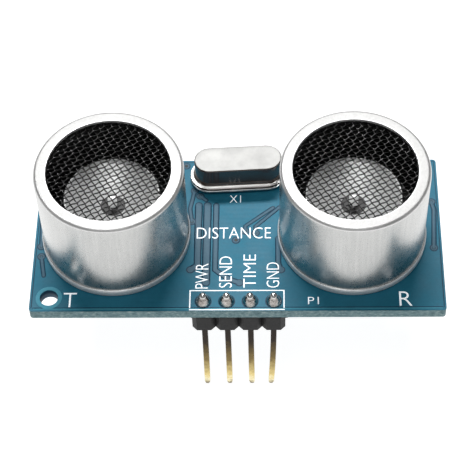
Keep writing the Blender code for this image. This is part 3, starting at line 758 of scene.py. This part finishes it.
def make_horn(kind):
    low, high = on_board(kind + "_horn")
    rest = on_board(kind + "_vibrating_disc")[1].z
    centre, rim = axis_of(kind + "_horn")
    top = high.z
    lip_z = top - 0.2 * MM
    foot_z = low.z + HORN_LIFT
    profile = [(0.0, top - 0.4 * MM, 0), (0.34 * MM, top - 0.36 * MM, 0), (0.37 * MM, top - 0.08 * MM, 0)]
    profile += rounded(0, STEM_R - 0.06 * MM, top - 0.06 * MM, 0.06 * MM, 150, 0, 6)
    # The stem's side and the flat ring round the foot take the near-black foot look: painted shade.
    profile += [(STEM_R, foot_z + 0.55 * MM, 1), (STEM_R + 0.12 * MM, foot_z + 0.32 * MM, 1),
               (HORN_FOOT, foot_z + 0.28 * MM, 1)]
    steps = 16
    start, end = (HORN_FOOT + 0.1 * MM, foot_z + 0.32 * MM), (rim - 0.3 * MM, lip_z - 0.1 * MM)
    for i in range(steps + 1):
        share = i / steps
        sag = 0.1 * MM * math.sin(math.pi * share)
        profile.append((start[0] + share * (end[0] - start[0]),
                        start[1] + share * (end[1] - start[1]) - sag, 0))
    profile += [(rim - 0.2 * MM, lip_z - 0.01 * MM, 0)]
    profile += rounded(0, rim - 0.1 * MM, lip_z - 0.05 * MM, 0.1 * MM, 130, -80, 10)
    profile += [(rim - 0.5 * MM, lip_z - 0.32 * MM, 0), (HORN_FOOT + 0.15 * MM, foot_z + 0.1 * MM, 0),
                (HORN_FOOT, foot_z, 0), (HORN_FOOT - 0.1 * MM, rest, 0), (0.0, rest, 0)]
    bm = bmesh.new()
    lathe(bm, profile, centre, 128)
    piece(kind + "_horn_cone", bm, HORN, FOOT_SHADE,
          replaces=(kind + "_horn",), slot="horn_metal", smooth=40)


def make_inside(kind):
    # The vibrating disc and the seat ring take the near-black inside look: painted shade.
    dress(kind + "_vibrating_disc", INSIDE_SHADE, 0.04 * MM)
    dress(kind + "_piezo_disc", CERAMIC, 0.04 * MM)
    dress(kind + "_seat_ring", INSIDE_SHADE, 0.1 * MM)
    for n in ("1", "2"):
        dress(kind + "_wire_" + n, TIN)
        dress(kind + "_terminal_" + n, TIN, 0.05 * MM)
    centre, radius = axis_of(kind + "_base")
    top = on_board(kind + "_base")[1].z
    bm = bmesh.new()
    lathe(bm, [(0.0, top, 0), (radius - 0.1 * MM, top, 0), (radius, top - 0.1 * MM, 0),
               (radius, 0.1 * MM, 0), (radius - 0.1 * MM, SEAT, 0), (0.0, SEAT, 0)], centre, 96)
    piece(kind + "_base_disc", bm, BASE, replaces=(kind + "_base",), slot="base_plastic", smooth=40)


# ---------------- crystal
CRYSTAL_TURN = math.radians(3.3)
CRYSTAL_CAN, CRYSTAL_FLANGE = (9.8 * MM, 3.45 * MM), (10.9 * MM, 4.5 * MM)  # length and width
SHEET_T, PLATE_T, LIP_T = 0.35 * MM, 0.36 * MM, 0.28 * MM


def make_crystal():
    top = on_board("crystal_can")[1].z
    centre = middle("crystal_base")
    place = Matrix.Translation((centre.x, centre.y, 0)) @ Matrix.Rotation(CRYSTAL_TURN, 4, "Z")

    def inset_from(size):
        return lambda inset: stadium(size[0] - 2 * inset, size[1] - 2 * inset)

    edge = 0.16 * MM
    skirt = (CRYSTAL_FLANGE[1] - CRYSTAL_CAN[1]) / 2
    plate_z = SHEET_T + SEAT
    lip_z = plate_z + PLATE_T
    bm = bmesh.new()
    sides = [(-skirt + 0.06 * MM, lip_z), (-skirt, lip_z + 0.06 * MM), (-skirt, lip_z + LIP_T - 0.06 * MM),
             (-skirt + 0.06 * MM, lip_z + LIP_T), (-0.14 * MM, lip_z + LIP_T + 0.02 * MM),
             (-0.04 * MM, lip_z + LIP_T + 0.1 * MM), (0.0, lip_z + LIP_T + 0.3 * MM), (0.0, top - 1.0 * MM)]
    sides += [(edge - edge * math.cos(math.radians(a)), top - edge + edge * math.sin(math.radians(a)))
              for a in (0, 15, 30, 45, 60, 75, 90)]
    sides += [(0.55 * MM, top + 0.004 * MM), (0.8 * MM, top)]
    slab(bm, inset_from(CRYSTAL_CAN), sides, place)
    bm.normal_update()
    # Faces that look straight up take the top's tone near the top and the lip's brighter tone lower down;
    # all other faces keep the side's dark tone. This is painted shade and painted highlight by which way
    # each face looks.
    for face in bm.faces:
        if face.normal.z > 0.9:
            face.material_index = 1 if face.calc_center_median().z > top - edge else 2
    piece("crystal_cover", bm, NICKEL_SIDE_SHADE, NICKEL_TOP_SHADE, NICKEL_LIP_HIGHLIGHT, replaces=("crystal_can",),
          slot="nickel_plate", smooth=40)

    bm = bmesh.new()
    flange_at = inset_from(CRYSTAL_FLANGE)
    slab(bm, flange_at, [(0.05 * MM, plate_z), (0.0, plate_z + 0.05 * MM), (0.0, lip_z - 0.09 * MM),
                         (0.05 * MM, lip_z - 0.06 * MM), (0.12 * MM, lip_z - 0.05 * MM),
                         (0.14 * MM, lip_z + 0.01 * MM)], place)
    # The plate takes the lip's bright tone: a painted highlight.
    piece("crystal_plate", bm, NICKEL_LIP_HIGHLIGHT, replaces=("crystal_base",),
          slot="nickel_plate", smooth=40)

    bm = bmesh.new()
    slab(bm, flange_at, [(0.3 * MM, SEAT), (0.26 * MM, SEAT + 0.03 * MM), (0.26 * MM, plate_z - 0.03 * MM),
                         (0.3 * MM, plate_z)], place)
    piece("crystal_sheet", bm, SHEET, replaces=("crystal_insulator",), slot="insulator_sheet",
          smooth=40)
    for n in ("1", "2"):
        dress("crystal_lead_" + n, TIN, 0.05 * MM)
    dress("quartz_blank", SHEET, 0.03 * MM)


# ---------------- header
NOTCH = 0.5 * MM


def make_header():
    low, high = on_board("header_block")
    centre = (low + high) / 2
    half_y = (high.y - low.y) / 2

    def outline(inset):
        points = []
        for side in (-1, 1):
            row = []
            for cell in range(4):
                start = low.x + cell * PIN_PITCH - centre.x
                for x, y in ((NOTCH, half_y), (PIN_PITCH - NOTCH, half_y)):
                    row.append((start + x, side * (y - inset)))
                if cell < 3:
                    row.append((start + PIN_PITCH, side * (half_y - NOTCH - inset)))
            corner = side * (half_y - NOTCH)
            row = [(low.x - centre.x + inset, corner)] + row + [(high.x - centre.x - inset, corner)]
            points += row if side < 0 else row[::-1]
        return points

    place = Matrix.Translation((centre.x, centre.y, 0))
    bm = bmesh.new()
    slab(bm, outline, [(0.06 * MM, low.z), (0.0, low.z + 0.06 * MM), (0.0, BACK - 0.09 * MM),
                       (0.06 * MM, BACK - COPPER)], place)
    for side, reach in ((-1, low.x), (1, high.x)):
        add_box(bm, (reach + side * 0.06 * MM, centre.y + 0.1 * MM, BACK - 0.8 * MM),
                (0.34 * MM, 1.1 * MM, 1.2 * MM), 0, 0.2, 0.06 * MM)
    piece("header_body", bm, BLOCK, replaces=("header_block",), slot="header_plastic", smooth=0)

    bends = (-0.08 * MM, -0.02 * MM, 0.0, -0.34 * MM)
    for n, (x, bend) in enumerate(zip(PIN_X, bends), 1):
        name = "header_pin_%d" % n
        low, high = on_board(name)
        free = low.z, BACK - 2.5 * MM

        def lean(z):
            share = max(0.0, min(1.0, (free[1] - z) / (free[1] - free[0])))
            return bend * share * share

        stations = [(low.z, 0.15), (low.z + 0.05 * MM, 0.19), (low.z + 0.5 * MM, 0.29),
                    (low.z + 0.75 * MM, 0.32)]
        stations += [(free[0] + (free[1] - free[0]) * i / 12, 0.32) for i in range(1, 13)]
        stations += [(BACK, 0.32), (high.z - 0.45 * MM, 0.32), (high.z - 0.1 * MM, 0.2)]
        loops = []
        for z, half in stations:
            h, c = half * MM, 0.045 * MM
            loops.append([Vector((x + lean(z) + u, PIN_Y + v, z)) for u, v in (
                (h, c - h), (h, h - c), (h - c, h), (c - h, h),
                (-h, h - c), (-h, c - h), (c - h, -h), (h - c, -h))])
        bm = bmesh.new()
        skin(bm, loops)
        piece("pin_%d" % n, bm, GOLD, replaces=(name,), slot="gilt_pin", smooth=30)


# ---------------- solder
def solder_mound(bm, x, y, face, side, foot, neck, height, tip, seed, curve=2.4):
    """A wetted joint: a skirt from its pad to the lead, concave if curve is over 1, and a round tip in the
    second, brighter material, a painted highlight.
    """
    profile = []
    steps = 9
    for i in range(steps + 1):
        share = i / steps
        profile.append((neck + (foot - neck) * (1 - share) ** curve, face + side * height * share, 0))
    # The round tip takes the second material, brighter than the skirt: a painted highlight.
    for i in range(1, 6):
        turn = math.pi / 2 * i / 5
        profile.append((neck * math.cos(turn) if i < 5 else 0.0,
                        face + side * (height + tip * math.sin(turn)), 1))

    def uneven(angle, z):
        fade = 1 - min(1.0, abs(z - face) / (height + tip))
        return 1 + fade * (0.03 * math.sin(2 * angle + seed) + 0.02 * math.sin(3 * angle + 2.3 * seed))

    lathe(bm, profile, (x, y), 40, uneven)


def make_solder():
    for n, x in enumerate(PIN_X, 1):
        bm = bmesh.new()
        solder_mound(bm, x, PIN_Y, COPPER / 2, 1, 0.84 * MM, 0.44 * MM, 0.9 * MM, 0.5 * MM, n, 0.8)
        piece("header_joint_%d" % n, bm, SOLDER, TIN,
              replaces=("header_solder_%d" % n,), slot="solder", smooth=60)
    terminals = [(kind, "terminal", 0.95, 0.4) for kind in KINDS]
    for owner, stem, foot, neck in terminals + [("crystal", "lead", 0.75, 0.26)]:
        for n in (1, 2):
            node = "%s_%s_%d" % (owner, stem, n)
            at = middle(node)
            tall = BACK - on_board(node)[0].z - 0.3 * MM
            bm = bmesh.new()
            solder_mound(bm, at.x, at.y, BACK, -1, foot * MM, neck * MM, tall, 0.4 * MM, n + at.x * 1000)
            piece("%s_joint_%d" % (owner, n), bm, SOLDER, TIN,
                  replaces=("%s_solder_%d" % (owner, n),), slot="solder", smooth=60)


# ---------------- parts on the back
REST = BACK - 0.03 * MM  # the face that the back's parts stand on
LEAD_T = 0.2 * MM
PIN_1_R = 0.42 * MM
WIDE_LEAD, SMALL_LEAD = (0.42 * MM, 0.62 * MM), (0.4 * MM, 0.36 * MM)  # width, and length of the foot


def gull_lead(bm, x, y, sign, inner, outer, body_mid, size):
    """A lead that leaves a chip's side, bends towards the board and lies flat on its pad."""
    half, foot = size[0] / 2, size[1]
    flat = REST - LEAD_T / 2
    path = [(inner, body_mid), (inner + 0.26 * MM, body_mid), (inner + 0.36 * MM, body_mid + 0.06 * MM),
            (outer - foot - 0.12 * MM, flat - 0.1 * MM), (outer - foot, flat), (outer, flat)]
    loops = []
    for i, (d, z) in enumerate(path):
        before, after = path[max(i - 1, 0)], path[min(i + 1, len(path) - 1)]
        run = Vector((after[0] - before[0], after[1] - before[1])).normalized()
        thick = Vector((-run.y, run.x)) * (LEAD_T / 2)
        loops.append([Vector((x + sign * (d + w * thick.x), y + u, z + w * thick.y))
                      for u, w in ((half, 1), (-half, 1), (-half, -1), (half, -1))])
    skin(bm, loops)


def chip(node, counts, pitch, body_w, body_h, lead):
    """A moulded package on the back, long in Y. `counts` is how many leads its -X and +X sides have."""
    low, high = on_board(node)
    centre = (low + high) / 2
    length, span = high.y - low.y, (high.x - low.x) / 2
    top = REST - 0.1 * MM  # the face next to the board
    bottom = top - body_h
    mid = (top + bottom) / 2
    draft, edge = 0.12 * MM, 0.05 * MM

    def outline(inset):
        x, y = body_w / 2 - inset, length / 2 - inset
        return [(x, -y), (x, y), (-x, y), (-x, -y)]

    bm = bmesh.new()
    slab(bm, outline, [(draft + edge, bottom), (draft, bottom + edge), (0.0, mid - 0.06 * MM),
                       (0.0, mid + 0.06 * MM), (draft, top - edge), (draft + edge, top)],
         Matrix.Translation((centre.x, centre.y, 0)))
    if counts[0] > 3:
        lathe(bm, [(PIN_1_R + 0.05 * MM, bottom - 0.002 * MM, 1), (PIN_1_R, bottom - 0.012 * MM, 1),
                   (0.0, bottom - 0.006 * MM, 1)],
              (centre.x + body_w / 2 - 0.85 * MM, centre.y + length / 2 - 0.95 * MM), 32)
    piece(node + "_body", bm, EPOXY, GLAZE, replaces=(node,), slot="chip_epoxy", smooth=0)
    leads, pads = bmesh.new(), bmesh.new()
    for sign, count in zip((-1, 1), counts):
        step = pitch * (1 if count > 3 else 2)
        for i in range(count):
            y = centre.y + (i - (count - 1) / 2) * step
            gull_lead(leads, centre.x, y, sign, body_w / 2 - 0.1 * MM, span, mid, lead)
            add_box(pads, (centre.x + sign * (span - lead[1] / 2), y, BACK - 0.035 * MM),
                    (lead[1] + 0.6 * MM, lead[0] + 0.2 * MM, 0.07 * MM), edge=0.03 * MM)
            add_box(pads, (centre.x + sign * (span + 0.06 * MM), y, BACK - 0.12 * MM),
                    (0.24 * MM, lead[0] - 0.02 * MM, 0.2 * MM), edge=0.09 * MM)
    piece(node + "_leads", leads, TIN, slot="tinned_lead", smooth=0)
    piece(node + "_pads", pads, SOLDER, slot="solder", smooth=40)


def passive(node, cap, body, slot):
    """A chip resistor or capacitor: a body between two tinned ends on solder fillets."""
    low, high = on_board(node)
    centre = (low + high) / 2
    size = high - low
    length, width, height = max(size.x, size.y), min(size.x, size.y), size.z
    turn = 0.0 if size.x > size.y else math.pi / 2
    cap_l = 0.32 * MM
    mid_z = REST - height / 2
    step = Vector((math.cos(turn), math.sin(turn), 0))
    bm = bmesh.new()

    def block(z, size, look, edge, out=0.0):
        add_box(bm, Vector((centre.x, centre.y, z)) + step * out, size, look, turn, edge)

    block(mid_z, (length - cap_l, width - 0.04 * MM, height - 0.04 * MM), 0, 0.02 * MM)
    if cap:
        block(mid_z - height / 2, (length - 2.4 * cap_l, width - 0.06 * MM, 0.05 * MM), 2, 0.015 * MM)
    for sign in (-1, 1):
        block(mid_z, (cap_l, width, height), 1, 0.04 * MM, sign * (length - cap_l) / 2)
        block(BACK - 0.04 * MM, (0.85 * MM, width + 0.12 * MM, 0.08 * MM), 3, 0.035 * MM,
              sign * (length / 2 + 0.02 * MM))
        block(BACK - 0.12 * MM, (0.22 * MM, width - 0.06 * MM, 0.2 * MM), 3, 0.09 * MM,
              sign * (length / 2 + 0.06 * MM))
    piece(node + "_look", bm, body, TIN, GLAZE, SOLDER, replaces=(node,), slot=slot, smooth=30)


SMALL_PITCH = 0.95 * MM
WIDE_PITCH = 1.27 * MM
# Back tracks: width, then the points that each runs through, in millimetres.
BACK_TRACKS = (
    (0.3, (-2.44, 7.6), (-2.44, 5.0), (-2.7, 4.6), (-2.7, 2.71)),
    (0.3, (2.44, 7.9), (2.44, 5.0), (2.7, 4.6), (2.7, 2.71)),
    (0.3, (-5.7, -3.0), (-4.6, -3.0), (-3.9, -2.37), (-2.7, -2.37)),
    (0.3, (-5.7, -1.74), (-4.6, -1.74), (-3.9, -1.1), (-2.7, -1.1)),
    (0.3, (-5.7, 0.8), (-4.5, 0.8), (-3.8, 1.44), (-2.7, 1.44)),
    (0.5, (-13.45, 4.85), (-13.45, 3.6), (-12.3, 2.07), (-11.1, 2.07)),
    (0.5, (-13.45, -5.15), (-12.6, -4.27), (-11.1, -4.27)),
    (0.3, (2.7, -1.1), (3.5, -1.1), (4.6, -2.37), (5.4, -2.37)), (0.3, (2.7, 1.44), (5.4, 1.44)),
    (0.3, (2.7, 0.17), (5.4, 0.17)),
    (0.5, (12.6, 4.85), (12.6, 3.4), (11.9, 2.71), (10.8, 2.71)),
    (0.5, (12.6, -5.15), (11.8, -4.91), (10.8, -4.91)),
    (0.3, (-5.9, 6.3), (-4.6, 5.2), (-4.6, 2.7), (-5.7, 2.07)), (0.3, (-7.3, 6.3), (-8.7, 6.3)),
    (0.3, (-10.1, 6.3), (-11.6, 5.0), (-11.6, 3.9), (-11.1, 3.35)),
    (0.3, (4.9, 6.3), (4.3, 5.6), (4.3, 3.4), (5.4, 2.71)), (0.3, (6.3, 6.3), (7.5, 6.3)),
    (0.3, (8.9, 6.3), (10.2, 5.4), (10.2, 4.4)),
    (0.45, (-1.15, -9.0), (-1.15, -6.6), (-2.7, -5.4), (-2.7, -4.91)),
    (0.45, (1.39, -9.0), (1.39, -6.4), (2.7, -5.4), (2.7, -4.91)),
    (0.8, (-3.69, -9.0), (-3.69, -8.0), (-4.6, -7.2), (-4.6, -6.5)),
    (0.8, (3.93, -9.0), (3.93, -8.0), (4.6, -7.2), (4.6, -6.5)),
    (0.8, (-4.6, -7.2), (-12.4, -7.2), (-15.2, -4.4), (-15.2, 6.2), (-13.6, 7.9), (-7.2, 8.3)),
    (0.8, (4.6, -7.2), (12.6, -7.2), (15.0, -4.8), (15.0, 6.4), (13.6, 7.9), (6.0, 8.3)),
    (0.3, (-16.6, -2.6), (-15.2, -2.6)), (0.3, (-16.6, 0.9), (-16.6, -0.4), (-15.2, -1.4)),
    (0.3, (-18.6, -3.1), (-18.6, -5.4), (-17.2, -6.8), (-10.6, -8.3), (-9.4, -8.3)),
    (0.3, (-18.6, -2.1), (-18.6, 2.4), (-17.8, 3.4)), (0.3, (-16.6, 2.3), (-16.6, 3.6)),
    (0.3, (16.4, 0.7), (16.4, -1.3)), (0.3, (16.4, -2.7), (16.4, -4.0), (17.6, -5.2), (17.6, -6.6)),
    (0.3, (16.4, 2.1), (17.8, 3.6), (17.8, 4.8)), (0.3, (10.1, -8.3), (12.8, -8.3)),
)
BACK_VIAS = ((-17.8, 3.4), (-16.6, 3.6), (17.6, -6.6), (17.8, 4.8), (10.2, 4.4), (12.8, -8.3), (-7.2, 8.3),
             (6.0, 8.3), (0.2, 5.2), (-0.2, -6.4), (-4.6, 4.2), (4.3, 4.6), (-19.8, -6.6), (19.6, 7.6))
BACK_WORDS = (("U1", 0.0, 4.1), ("U2", -8.4, 4.7), ("U3", 7.7, 4.3), ("Q1", -20.2, -2.6), ("X1", 0.0, 6.6),
              ("1", 6.2, -9.2), ("4", -6.0, -9.2))
FRAME_GAP = 0.32 * MM  # between a small part and the ink line round it


def make_back_copper():
    bm = bmesh.new()
    lay_tracks(bm, BACK_TRACKS, GAP_T, BACK, 2 * GAP_W)
    piece("back_gaps", bm, MASK_GAP_AND_HOLE_SHADE, slot="board", smooth=0)
    bm = bmesh.new()
    lay_tracks(bm, BACK_TRACKS, COPPER, BACK)
    lay_vias(bm, BACK_VIAS, BACK, -1, BACK - 1.1 * COPPER)
    bmesh.ops.recalc_face_normals(bm, faces=bm.faces)
    piece("back_tracks", bm, MASK_TRACK, MASK_PALE, HOLE_SHADE, slot="board")


def make_back_ink():
    bm = bmesh.new()
    for word, x, y in BACK_WORDS:
        half = Vector((0.14 if word == "1" else 0.34 * len(word), 0.5)) * MM
        at = Vector((x, y)) * MM
        lettering(bm, word, at - half, at + half, BACK - COPPER, -1)
    outlined = ["resistor_%d" % n for n in range(1, 8)] + ["capacitor_%d" % n for n in range(1, 5)]
    for node in outlined + ["header_block"]:
        low, high = on_board(node)
        gap = FRAME_GAP + (0.3 * MM if node != "header_block" else -0.12 * MM)
        low_y, high_y = max(low.y - gap, -HALF_Y + 0.15 * MM), high.y + gap
        ribbon(bm, [(low.x - gap, low_y), (high.x + gap, low_y), (high.x + gap, high_y),
                    (low.x - gap, high_y)], FRAME_LINE_W, INK_T, BACK, ring=True)
    piece("back_ink", bm, GLOWING_INK, slot="board", smooth=0)


def make_back():
    for node, count in (("driver_chip", 8), ("microcontroller_chip", 7), ("amplifier_chip", 7)):
        chip(node, (count, count), WIDE_PITCH, 3.9 * MM, 1.4 * MM, WIDE_LEAD)
    chip("transistor", (2, 1), SMALL_PITCH, 1.3 * MM, 0.9 * MM, SMALL_LEAD)
    for n in range(1, 8):
        passive("resistor_%d" % n, True, CERAMIC, "resistor_glaze")
    for n in range(1, 5):
        passive("capacitor_%d" % n, False, TAN, "capacitor_ceramic")


# ---------------- build everything
make_board()
make_front_copper()
make_front_ink()
for kind in KINDS:
    make_can(kind)
    make_mesh(kind)
    make_horn(kind)
    make_inside(kind)
make_crystal()
make_header()
make_solder()
make_back_copper()
make_back_ink()
make_back()

# ---------------- floor, light and camera
floor_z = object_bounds()[0].z
bm = bmesh.new()
lathe(bm, [(0.0, floor_z, 0), (0.3, floor_z, 0), (2.0, floor_z, 0)], (0, 0), 96)
floor_mesh = mesh_of(bm, "floor")
floor_look = Look("pale_floor", Roughness=0.8, Emission_Color=(1.0, 1.0, 1.0, 1.0), Emission_Strength=0.94)
floor_look.colour(floor_look.ramp(floor_look.noise(0.05), (0.3, 0.28), (0.7, 0.32)))
floor_mesh.materials.append(floor_look.material)
floor = bpy.data.objects.new("floor", floor_mesh)
bpy.context.scene.collection.objects.link(floor)

world = bpy.data.worlds.new("studio")
bpy.context.scene.world = world
world.use_nodes = True
world.node_tree.nodes["Background"].inputs["Color"].default_value = (1.0, 1.0, 1.0, 1.0)
world.node_tree.nodes["Background"].inputs["Strength"].default_value = 0.06


def softbox(name, azimuth, elevation, distance, width, height, power):
    """A lit panel facing the object: degrees (azimuth 0 is +X, 90 is +Y), then metres and watts."""
    a, e = math.radians(azimuth), math.radians(elevation)
    way = Vector((math.cos(a) * math.cos(e), math.sin(a) * math.cos(e), math.sin(e)))
    data = bpy.data.lights.new(name, "AREA")
    data.shape = "RECTANGLE"
    data.size, data.size_y = width, height
    data.energy = power
    obj = bpy.data.objects.new(name, data)
    obj.location = FRONT + way * distance
    obj.rotation_euler = (-way).to_track_quat("-Z", "Y").to_euler()
    bpy.context.scene.collection.objects.link(obj)


softbox("key", 98, 61, 0.6, 0.33, 0.07, 3.9)
softbox("top", -112, 77, 0.5, 0.2, 0.2, 0.6)
softbox("front", -90, 35, 0.5, 0.5, 0.14, 0.18)
softbox("left", 185, 25, 0.5, 0.4, 0.5, 0.12)
softbox("right", -5, 25, 0.5, 0.4, 0.5, 0.12)

YAW, ROLL, PITCH = math.radians(-2.112), math.radians(1.968), math.radians(54.539)
AIM = Vector((-0.1, -0.5, 0.0)) * MM
REACH = 184.8 * MM
forward = Vector((math.sin(YAW) * math.cos(PITCH), math.cos(YAW) * math.cos(PITCH), -math.sin(PITCH)))
right = forward.cross(Vector((0, 0, 1))).normalized()
down = forward.cross(right)
camera_x = math.cos(ROLL) * right + math.sin(ROLL) * down
camera_y = math.sin(ROLL) * right - math.cos(ROLL) * down
camera_data = bpy.data.cameras.new("camera")
camera_data.lens = 126.6
camera_data.sensor_width = 36.0
camera_data.clip_start, camera_data.clip_end = 0.01, 10.0
camera = bpy.data.objects.new("camera", camera_data)
camera.matrix_world = Matrix((camera_x, camera_y, -forward)).transposed().to_4x4()
camera.location = FRONT + AIM - forward * REACH
bpy.context.scene.collection.objects.link(camera)
bpy.context.scene.camera = camera
bpy.context.scene.view_settings.view_transform = "Standard"
